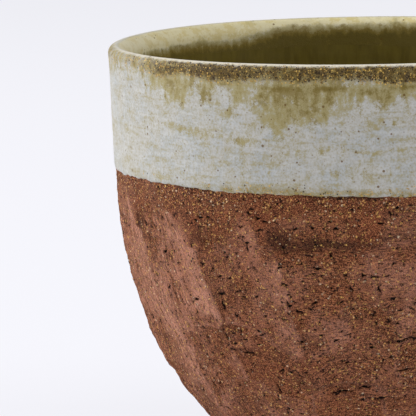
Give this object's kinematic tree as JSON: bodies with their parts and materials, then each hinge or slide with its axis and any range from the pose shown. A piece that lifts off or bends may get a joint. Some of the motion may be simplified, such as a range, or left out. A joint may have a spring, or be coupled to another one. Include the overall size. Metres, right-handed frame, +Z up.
{
  "type": "stoneware cup",
  "caption": "Handleless stoneware cup with a knife-pared clay wall, a pale glazed band, an olive glazed lip and a low foot ring.",
  "frame": {"origin": "middle of the foot ring's resting face, on the cup's axis", "axes": "+Z up along the cup's axis, -Y towards the side that the picture shows; the pictured left is -X"},
  "size_m": [0.0884, 0.0884, 0.075],
  "materials": {
    "red_clay": "bare grogged red-brown stoneware, matt, pared with a knife",
    "foot_clay": "bare red-brown stoneware, matt, rubbed smooth where it stands",
    "pale_glaze": "pale grey-white satin glaze with iron specks",
    "olive_glaze": "mottled olive-brown satin glaze, thin and pale on the crest of the lip",
    "liner_glaze": "olive-brown satin liner glaze"
  },
  "bodies": {
    "root": {"clay_body": "red_clay", "foot_ring": "foot_clay", "band_glaze": "pale_glaze", "rim_glaze": "olive_glaze", "liner_glaze": "liner_glaze"}
  },
  "joints": []
}
